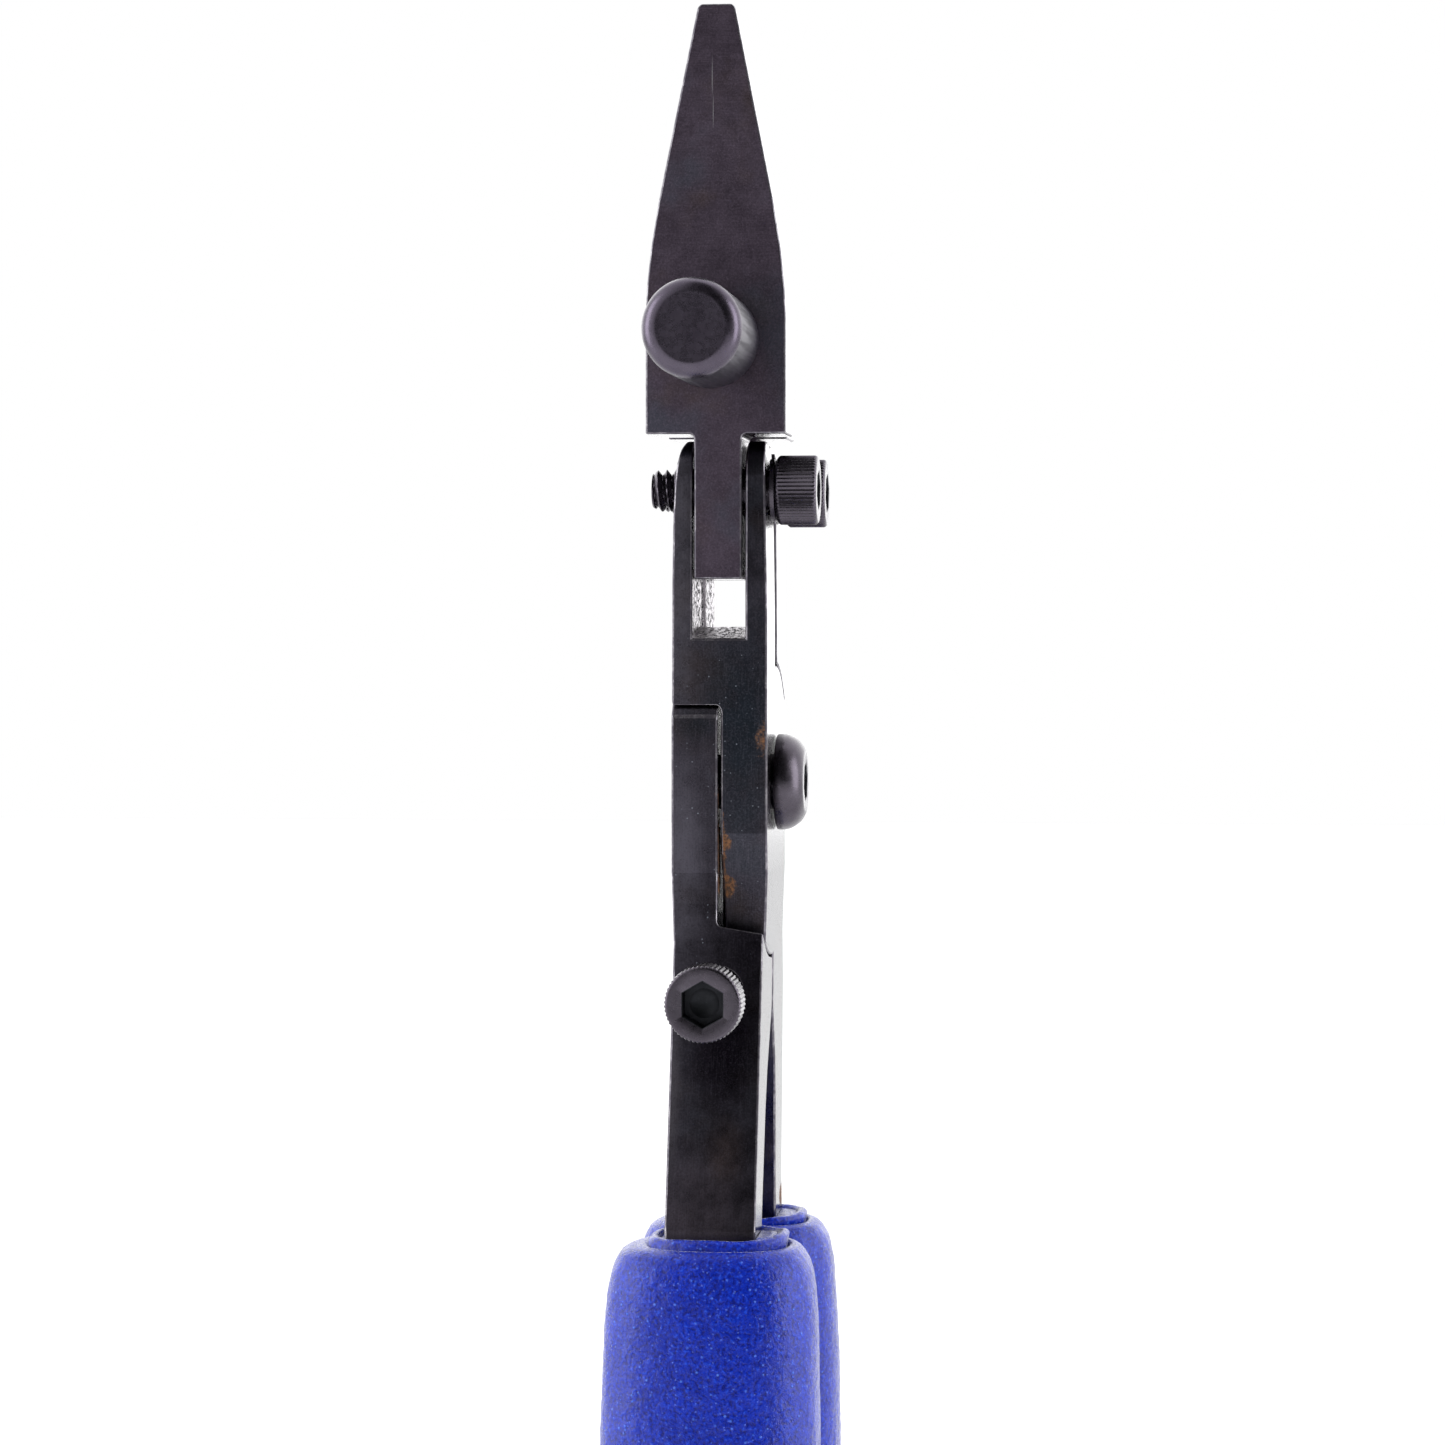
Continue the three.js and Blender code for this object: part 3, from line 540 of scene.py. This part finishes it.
insert_steel = black_oxide(
    "insert_black_oxide", (0.056, 0.044, 0.060), (0.072, 0.057, 0.077), 0.46, (4.0, 2.0, 0.12),
    scratches=(((-0.88, -9.8, 80.4), (0.07, 3.0, 2.7)), ((-0.76, -9.8, 76.4), (0.06, 3.0, 2.4))),
    crown=(-0.45, 9.5, 0.12), ground_above=57.0, ground=0.34)
edge_steel = worn_edge("worn_steel_edge", SLOT_WALLS)
screw_steel = screw_finish("screw_black_oxide", (0.058, 0.051, 0.063), (0.085, 0.076, 0.092), 0.28)
# The knob's side, within 28.7 mm of the middle plane, carries painted shade and painted reflection streaks.
knob_steel = screw_finish("knob_black_oxide_painted_light", (0.068, 0.058, 0.078), (0.086, 0.075, 0.098), 0.27, 28.7)
# Painted shade: a darker colour for the sockets' walls and floors, where shade falls.
socket_shade = screw_finish("socket_wall_painted_shade", (0.020, 0.021, 0.024), (0.032, 0.033, 0.038), 0.5)
die_steel = screw_finish("die_dark_steel", (0.07, 0.068, 0.075), (0.13, 0.125, 0.135), 0.3)
blue_vinyl = vinyl("blue_dipped_vinyl")
cushion_urethane = urethane("amber_urethane")


# ---------------------------------------------------------------- levers and inserts


def soften(node, material, width, angle=32):
    """Gives a CAD solid its finish and small rounded edges."""
    piece = NODES[node]
    mesh = piece.data
    if mesh.has_custom_normals:
        with bpy.context.temp_override(object=piece, active_object=piece):
            bpy.ops.mesh.customdata_custom_splitnormals_clear()
    mesh.materials.clear()
    mesh.materials.append(material)
    mesh.materials.append(edge_steel)
    weld = piece.modifiers.new("weld", "WELD")
    weld.merge_threshold = 0.000002
    flat = piece.modifiers.new("flat_faces", "DECIMATE")
    flat.decimate_type = "DISSOLVE"
    flat.angle_limit = math.radians(0.8)
    bevel = piece.modifiers.new("edges", "BEVEL")
    bevel.width = width * MM
    bevel.segments = 2
    bevel.limit_method = "ANGLE"
    bevel.angle_limit = math.radians(angle)
    bevel.use_clamp_overlap = False
    bevel.harden_normals = True
    bevel.material = 1
    smooth = piece.modifiers.new("normals", "WEIGHTED_NORMAL")
    smooth.keep_sharp = True


soften("front_jaw_lever", front_steel, 0.24)
soften("rear_jaw_lever", rear_steel, 0.24)
soften("front_jaw_insert", insert_steel, 0.22)
soften("rear_jaw_insert", insert_steel, 0.22)


# ---------------------------------------------------------------- screws and washers


def middle(node):
    """The middle of a node's box."""
    low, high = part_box(node)
    return (low + high) / 2


def make_jaw_screws():
    """The two cross screws that hold the inserts in the forks."""
    for side, body in (("front", "front_lever"), ("rear", "rear_lever")):
        node = f"{side}_jaw_screw"
        centre, top = middle(node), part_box(node)[1].x
        origin = (top - JAW_SCREW["height"] * MM, centre.y, centre.z)
        rows = placed(cap_screw(JAW_SCREW), origin, (1, 0, 0), 17)
        piece = shown(f"{node}_turned", surface(node, rows), screw_steel, body, node)
        shade_socket(piece, JAW_SCREW["teeth"] * COLUMNS_PER_TOOTH)


def make_stop_screw():
    """The stop screw in the front handle, its head facing forwards."""
    node = "stop_screw"
    centre, face = middle(node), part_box(node)[0].y
    origin = (centre.x, face + STOP_SCREW["height"] * MM, centre.z)
    rows = placed(cap_screw(STOP_SCREW), origin, (0, -1, 0), 0)
    piece = shown("stop_screw_turned", surface(node, rows), screw_steel, "stop", node)
    shade_socket(piece, STOP_SCREW["teeth"] * COLUMNS_PER_TOOTH)


def make_pivot_screw():
    """The button-head screw that the levers turn on."""
    node = "pivot_screw"
    centre, top = middle(node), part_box(node)[1].x
    origin = (top - PIVOT_SCREW["height"] * MM, centre.y, centre.z)
    rows = placed(button_screw(PIVOT_SCREW), origin, (1, 0, 0), 12)
    piece = shown("pivot_screw_turned", surface(node, rows), screw_steel, "rear_lever",
                  node)
    shade_socket(piece, BUTTON_COLUMNS)


def make_washers():
    """Split spring washers: a square section bent round, with one end sprung outwards."""
    inner, outer, thick = WASHER["inner"], WASHER["outer"], WASHER["thickness"]
    for side, body, top_angle in (("front", "front_lever", 96), ("rear", "rear_lever", 60)):
        node = f"{side}_lock_washer"
        low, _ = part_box(node)
        centre = middle(node)
        half, soft = (outer - inner) / 2, 0.09
        corners = [(-half + soft, 0), (half - soft, 0), (half, soft), (half, thick - soft),
                   (half - soft, thick), (-half + soft, thick), (-half, thick - soft), (-half, soft)]
        steps = 72
        rows = []
        for i in range(steps + 1):
            share = i / steps
            angle = math.radians(top_angle + 3 + 350 * share)
            sprung = max(0.0, share - 0.93) / 0.07
            radius = (inner + outer) / 2 + 0.75 * sprung**2
            narrow = 1 - 0.45 * sprung
            lean = -0.12 * max(0.0, 0.12 - share) / 0.12
            rows.append(np.array([[(radius + u * narrow) * math.cos(angle),
                                   (radius + u * narrow) * math.sin(angle), v * narrow + lean + 0.05]
                                  for u, v in reversed(corners)]))
        rows = [rows[0].mean(0), *rows, rows[-1].mean(0)]
        origin = (low.x, centre.y, centre.z)
        matrix = Matrix(((0, 0, 1), (1, 0, 0), (0, 1, 0)))
        placed_rows = [row @ np.array(matrix).T * MM + np.array(origin) for row in rows]
        mesh = surface(node, placed_rows)
        shown(f"{node}_coil", mesh, screw_steel, body, node, 35)


# ---------------------------------------------------------------- dies, cushion, post and knobs


def die_rows(recess, length):
    """A die along +Z (outwards) with its working face at z = 0."""
    radius, shank, seat = DIE["radius"], DIE["shank"], DIE["seat"]
    profile = [*recess, (radius - 0.35, 0.0), *arc((radius - 0.3, 0.3), 0.3, -80, 0, 4),
               (radius, seat - 0.2), (radius - 0.2, seat), (shank, seat), (shank, length - 0.3),
               (shank - 0.3, length), (0, length)]
    return turned_rows(profile, 96)


def knob_rows():
    """A round knob along +Z (outwards) with its base at z = 0, bored for the die's shank."""
    radius, height, edge, fullness = (KNOB[k] for k in ("radius", "height", "edge", "fullness"))
    bore, depth, foot = (KNOB[k] for k in ("bore", "depth", "foot"))
    profile = [(0, depth), (bore, depth), (bore, 0.2), (bore + 0.2, 0),
               *arc((radius - foot, foot), foot, -90, 0, 4)]
    for i in range(13):
        t = i / 12
        profile.append((radius - edge * (fullness * t * (1 - t) + t * t),
                        height - edge * ((1 - t) ** 2 + fullness * t * (1 - t))))
    profile += [(radius - edge - 0.15, height - 0.005), (radius - edge - 0.4, height - 0.01),
                (2.2, height - 0.01), (0, height - 0.01)]
    return turned_rows(profile, 144)


def make_die_sets():
    """Each insert's die and knob: a shallow cup in front, a socket with a ring groove behind."""
    cap = [(0, 1.6), (2.5, 1.6), (2.6, 1.5), (2.6, 0.95), (2.7, 0.86), (3.6, 0.42), (4.35, 0.13),
           (4.5, 0.0)]
    socket = [(0, 2.0), (1.1, 2.0), (1.1, 0.06), (1.16, 0.0), (2.34, 0.0), (2.4, 0.06), (2.45, 0.72),
              (2.55, 0.8), (3.45, 0.8), (3.55, 0.72), (3.6, 0.06), (3.66, 0.0)]
    for side, sign, recess in (("front", -1, cap), ("rear", 1, socket)):
        body = f"{side}_insert"
        axis = (0, sign, 0)
        low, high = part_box(f"{side}_die")
        centre = middle(f"{side}_die")
        face = high.y if sign < 0 else low.y
        length = (high.y - low.y) / MM
        rows = placed(die_rows(recess, length), (centre.x, face, centre.z), axis)
        shown(f"{side}_die_turned", surface(f"{side}_die", rows), die_steel, body,
              f"{side}_die")
        knob = f"{side}_die_knob"
        low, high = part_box(knob)
        base = high.y if sign < 0 else low.y
        rows = placed(knob_rows(), (centre.x, base, centre.z), axis)
        shown(f"{knob}_turned", surface(knob, rows), knob_steel, body, knob)


def make_cushion_and_post():
    """The ring in the front die's cup, and the pilot post in the rear die's bore."""
    centre, base = middle("front_die_cushion"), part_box("front_die_cushion")[1].y
    ring = [(1.05, 0.0), *arc((2.2, 0.1), 0.1, -90, 0, 3), *arc((2.2, 0.25), 0.1, 0, 90, 3),
            *arc((1.1, 0.25), 0.1, 90, 180, 3), *arc((1.1, 0.1), 0.1, 180, 270, 3)]
    rows = turned_rows(ring, 72)
    rows.append(rows[0])
    rows = placed(rows, (centre.x, base, centre.z), (0, -1, 0))
    shown("front_die_cushion_ring", surface("front_die_cushion", rows), cushion_urethane,
          "front_insert", "front_die_cushion")
    centre, base = middle("rear_die_post"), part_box("rear_die_post")[0].y
    post = [(0, 0), (0.3, 0), *arc((0.35, 0.15), 0.15, -90, -20, 3), (0.8, 0.5), (0.8, 2.4),
            (0.7, 2.5), (0, 2.5)]
    rows = placed(turned_rows(post, 48), (centre.x, base, centre.z), (0, 1, 0))
    shown("rear_die_post_turned", surface("rear_die_post", rows), die_steel, "rear_insert",
          "rear_die_post")


# ---------------------------------------------------------------- vinyl dips


def handle_centre(z):
    """The handle's middle line, in millimetres from the middle plane, at a height from the pivot."""
    return 22.2 - 0.00124 * (z + 118) ** 2


def steel_half_depth(z):
    """Half the depth of the handle's steel at a height from the pivot."""
    return 3.75 + 0.0075 * (z + 50)


def even_angles(width, depth, count):
    """Angles that space points evenly round the sleeve's section."""
    dense = np.linspace(0, 2 * math.pi, 8001)
    points = section(dense, width, depth)
    steps = np.hypot(*np.diff(points, axis=0).T)
    length = np.concatenate([[0], np.cumsum(steps)])
    return np.interp(np.linspace(0, length[-1], count, endpoint=False), length, dense)


def section(angles, width, depth, power=SECTION_POWER):
    """(x, y) points of a rounded rectangle with these half sizes."""
    c, s = np.cos(angles), np.sin(angles)
    return np.stack([width * np.sign(c) * np.abs(c) ** power,
                     depth * np.sign(s) * np.abs(s) ** power], axis=1)


def pebble(point, seed):
    """Height of the vinyl's skin at a point in millimetres."""
    p = Vector(point) + seed
    slow = noise.noise(p / 7.0) * 0.10
    mid = noise.noise(p / 1.0) * 0.065
    small = noise.noise(p / 0.6) * 0.035
    return slow + mid + small


def sleeve_rows(rings, angles, side, shift, seed):
    """Loops of a sleeve along a handle; side is -1 for the front handle.

    A ring is (half width, half depth, height, offset along X, section power, skin's share).
    """
    rows = []
    for width, depth, height, offset, power, share in rings:
        loop = section(angles, width, depth, power)
        x = loop[:, 0] + shift + offset
        y = side * (handle_centre(height) + loop[:, 1] * side)
        points = np.stack([x, y, np.broadcast_to(height, x.shape)], axis=1).astype(float)
        if share:
            outward = section(angles, 1 / width, 1 / depth, 2 - power)
            outward /= np.linalg.norm(outward, axis=1)[:, None]
            lift = np.array([pebble(p, seed) - SKIN_INSET for p in points]) * share
            points[:, :2] += outward * lift[:, None]
        rows.append(points)
    return rows


def top_of(node):
    """A node's top, in millimetres from the pivot."""
    return (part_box(node)[1].z - PIVOT.z) / MM


def make_dips():
    """Both handles' dips; the seed gives each sleeve its own skin."""
    for side, body in ((-1, "rear_lever"), (1, "front_lever")):
        name = "front" if side < 0 else "rear"
        seed = Vector((40.0 * side, 7.0, 3.0))
        shift = (middle(f"{name}_grip").x - PIVOT.x) / MM
        make_grip(name, side, body, shift, seed)
        make_liner(name, side, body, shift, seed * 2)


def to_world(rows):
    """Rows in millimetres from the pivot, in metres in the frame."""
    return [row * MM + np.array(PIVOT) for row in rows]


def make_grip(name, side, body, shift, seed):
    """The outer dip: a closed sleeve whose rounded mouth leaves room for the first dip's collar."""
    width, depth = GRIP["half_width"], GRIP["half_depth"]
    top, end = top_of(f"{name}_grip"), GRIP["end"]
    angles = even_angles(width, depth, 250)
    fractions = [(0.15, 0), (0.4, 0.02), (0.58, 0.15), (0.7, 0.6), (0.8, 1.3), (0.88, 2.3), (0.94, 3.6),
                 (0.975, 5.2), (0.995, 7.4)]
    outer = [(f, end + h) for f, h in fractions]
    outer += [(1.0, z) for z in np.linspace(end + 9, top - 20, 245)]
    heights = np.linspace(top - 19.5, top - 0.9, 52)
    known_heights = [top - 22, top - 18, top - 8.5, top - 5, top - 3, top - 1.8, top - 0.9]
    known = [1.0, 0.995, 0.975, 0.955, 0.925, 0.895, 0.85]
    outer += [(float(np.interp(z, known_heights, known)), float(z)) for z in heights]
    rings = [(f * width, f * depth, z, 0.0, SECTION_POWER, min(1.0, (z - end) / 3 + 0.1))
             for f, z in outer]
    inner_width, inner_depth = LINER["half_width"] - 0.02, LINER["half_depth"] - 0.02
    for share, drop in ((0.90, 0.66), (0.76, 0.40), (0.60, 0.20), (0.44, 0.08), (0.28, 0.02), (0.14, 0.02),
                        (0.05, 0.08), (0.0, 0.2)):
        rings.append((inner_width + (0.85 * width - inner_width) * share,
                      inner_depth + (0.85 * depth - inner_depth) * share, top - drop,
                      COLLAR_OFFSET * (1 - share), SECTION_POWER, 0.3 + 0.7 * share))
    rings += [(inner_width, inner_depth, z, COLLAR_OFFSET * min(1, max(0, (z - top + 5) / 5)),
               SECTION_POWER, 0.0)
              for z in (top - 1.2, top - 3, top - 5, top - 30, -120, -140, LINER["end"] - 0.1)]
    rows = sleeve_rows(rings, angles, side, shift, seed)
    poles = [np.array([shift, side * handle_centre(z), z]) for z in (end, LINER["end"] - 0.1)]
    rows = to_world([poles[0], *rows, poles[1]])
    shown(f"{name}_grip_dip", surface(f"{name}_grip", rows), blue_vinyl, body,
          f"{name}_grip", 60)


def make_liner(name, side, body, shift, seed):
    """The first dip: a thin sleeve on the steel, with a wavy rolled collar at its top."""
    width, depth = LINER["half_width"], LINER["half_depth"]
    top, end = top_of(f"{name}_grip_liner"), LINER["end"]
    angles = even_angles(width, depth, 220)
    lip, offset = 0.62, COLLAR_OFFSET
    rings = [(0.3 * width, 0.3 * depth, end, 0, SECTION_POWER, 0),
             (0.8 * width, 0.8 * depth, end, 0, SECTION_POWER, 0)]
    rings += [(width, depth, z, 0, SECTION_POWER, 0) for z in (end + 4, -120, -80, top - 8)]
    for z in np.linspace(top - 5, top - lip, 14):
        rings.append((width, depth, z, offset * (z - top + 5) / 5, SECTION_POWER, 0.8))
    for i in range(1, 10):
        turn = math.pi * i / 9
        inward = lip * (1 - math.cos(turn))
        rings.append((width - inward, depth - inward, top - lip + lip * math.sin(turn), offset, 0.76,
                      0.9))
    rings += [(width - 1.45, depth - 1.4, top - 0.36, offset, 0.7, 0.6),
              (width - 1.9, depth - 1.8, top - 0.33, offset * 0.7, 0.5, 0.6),
              (width - 2.5, depth - 2.4, top - 0.40, offset * 0.2, 0.3, 0.4)]
    hug = STEEL_HALF_WIDTH + STEEL_GAP
    rings += [(hug, steel_half_depth(z) + STEEL_GAP, z, 0, 0.12, share)
              for z, share in ((top - 0.5, 0.01), (top - 3.2, 0), (top - 20, 0), (-100, 0), (-125, 0),
                               (STEEL_END - STEEL_GAP, 0))]
    rows = sleeve_rows(rings, angles, side, shift, seed)
    for ring, row in zip(rings, rows):
        rise = min(max((ring[2] - (top - 3)) / 3, 0), 1)
        if ring[5]:
            wave = np.array([noise.noise(Vector((math.cos(a) * 1.6, math.sin(a) * 1.6, 3.7 * side)))
                             for a in angles])
            row[:, 2] += rise * (0.45 * wave + 0.25 * np.cos(angles))
    poles = [np.array([shift, side * handle_centre(z), z]) for z in (end, STEEL_END - STEEL_GAP)]
    rows = to_world([poles[0], *rows, poles[1]])
    shown(f"{name}_grip_liner_dip", surface(f"{name}_grip_liner", rows), blue_vinyl, body,
          f"{name}_grip_liner", 60)


# ---------------------------------------------------------------- stage, light and camera


def make_floor():
    """Plain pale paper just under the grips' ends."""
    mesh = bpy.data.meshes.new("floor")
    size, corner = 3.0, 0.0001
    mesh.from_pydata([(-size, -size, -corner), (size, -size, -corner), (size, size, -corner),
                      (-size, size, -corner)], [], [(0, 1, 2, 3)])
    floor = bpy.data.objects.new("floor", mesh)
    bpy.context.scene.collection.objects.link(floor)
    graph = Graph("floor_paper")
    color = graph.mix(graph.grain(400.0, 2.0), (0.86, 0.86, 0.87), (0.89, 0.89, 0.89))
    mesh.materials.append(graph.finish(color=color, rough=0.85, specular=0.2))


# The tent's brightness at angles round the pliers, in degrees: 0 in front, positive to the right
TENT = ((-180, 2.4), (-130, 2.3), (-95, 1.8), (-60, 1.6), (-38, 1.3), (-22, 0.85), (-13, 0.35), (-5, 0.08),
        (10, 0.05), (28, 0.06), (48, 0.22), (75, 0.8), (100, 1.8), (135, 2.4), (180, 2.4))


def make_world():
    """Soft white light all round like a product tent's, with a dark opening in front."""
    world = bpy.data.worlds.new("tent")
    world.use_nodes = True
    bpy.context.scene.world = world
    tree = world.node_tree
    tree.nodes.clear()

    def add(kind, links=(), **settings):
        node = tree.nodes.new(kind)
        for key, value in settings.items():
            setattr(node, key, value)
        for index, value in links:
            if isinstance(value, bpy.types.NodeSocket):
                tree.links.new(value, node.inputs[index])
            else:
                node.inputs[index].default_value = value
        return node

    def math_node(operation, first, second=0.0):
        return add("ShaderNodeMath", ((0, first), (1, second)), operation=operation).outputs[0]

    direction = add("ShaderNodeTexCoord").outputs["Generated"]
    x, y, z = add("ShaderNodeSeparateXYZ", ((0, direction),)).outputs
    turn = math_node("ARCTAN2", x, math_node("MULTIPLY", y, -1.0))
    ramp = add("ShaderNodeValToRGB", ((0, math_node("MULTIPLY_ADD", turn, 1 / (2 * math.pi))),))
    ramp.inputs[0].links[0].from_node.inputs[2].default_value = 0.5
    stops = ramp.color_ramp.elements
    while len(stops) > 1:
        stops.remove(stops[-1])
    brightest = max(level for _, level in TENT)
    for i, (degrees, level) in enumerate(TENT):
        stop = stops[0] if i == 0 else stops.new(0.5 + degrees / 360)
        stop.position = 0.5 + degrees / 360
        stop.color = (level / brightest,) * 3 + (1,)
    above = add("ShaderNodeMapRange", ((0, z), (1, 0.3), (2, 0.8), (3, 1.0), (4, 0.9)),
                interpolation_type="SMOOTHSTEP").outputs[0]
    glow = math_node("MULTIPLY", math_node("MULTIPLY", ramp.outputs[0], above), brightest)
    lit = add("ShaderNodeBackground", ((0, (1, 1, 1, 1)), (1, glow)))
    seen = add("ShaderNodeBackground", ((0, (1, 1, 1, 1)), (1, 1.0)))
    ray = add("ShaderNodeLightPath").outputs["Is Camera Ray"]
    both = add("ShaderNodeMixShader", ((0, ray), (1, lit.outputs[0]), (2, seen.outputs[0])))
    add("ShaderNodeOutputWorld", ((0, both.outputs[0]),))


def make_lamp(name, azimuth, elevation, distance, size, power):
    """A soft rectangular lamp aimed at the pivot; azimuth 0 is in front, positive to the right."""
    a, e = math.radians(azimuth), math.radians(elevation)
    away = Vector((math.sin(a) * math.cos(e), -math.cos(a) * math.cos(e), math.sin(e)))
    light = bpy.data.lights.new(name, "AREA")
    light.shape = "RECTANGLE"
    light.size, light.size_y = size
    light.energy = power
    lamp = bpy.data.objects.new(name, light)
    lamp.location = PIVOT + away * distance
    lamp.rotation_euler = (-away).to_track_quat("-Z", "Y").to_euler()
    lamp.visible_camera = False
    bpy.context.scene.collection.objects.link(lamp)


def make_camera():
    """A long lens in front and a little to the right of the pliers, tipped slightly down."""
    data = bpy.data.cameras.new("camera")
    data.lens, data.sensor_width = LENS_MM, SENSOR_MM
    data.clip_start, data.clip_end = 0.01, 20
    camera = bpy.data.objects.new("camera", data)
    right = Vector((math.cos(CAMERA_AZIMUTH), math.sin(CAMERA_AZIMUTH), 0))
    place = PIVOT + Vector((math.sin(CAMERA_AZIMUTH), -math.cos(CAMERA_AZIMUTH), 0)) * CAMERA_DISTANCE
    place.z += CAMERA_RISE
    aim = PIVOT - right * CAMERA_AIM_LEFT
    ahead = Vector((aim.x - place.x, aim.y - place.y, 0)).normalized()
    ahead.z = -math.tan(CAMERA_PITCH)
    camera.location = place
    camera.rotation_euler = ahead.to_track_quat("-Z", "Y").to_euler()
    bpy.context.scene.collection.objects.link(camera)
    bpy.context.scene.camera = camera


make_camera()
make_jaw_screws()
make_stop_screw()
make_pivot_screw()
make_washers()
make_die_sets()
make_cushion_and_post()
make_dips()
make_floor()
make_world()
make_lamp("left_soft", -75, 12, 0.9, (0.5, 1.0), 6)
make_lamp("right_soft", 80, 12, 0.9, (0.5, 1.0), 7)

bpy.context.scene.view_settings.view_transform = "Standard"
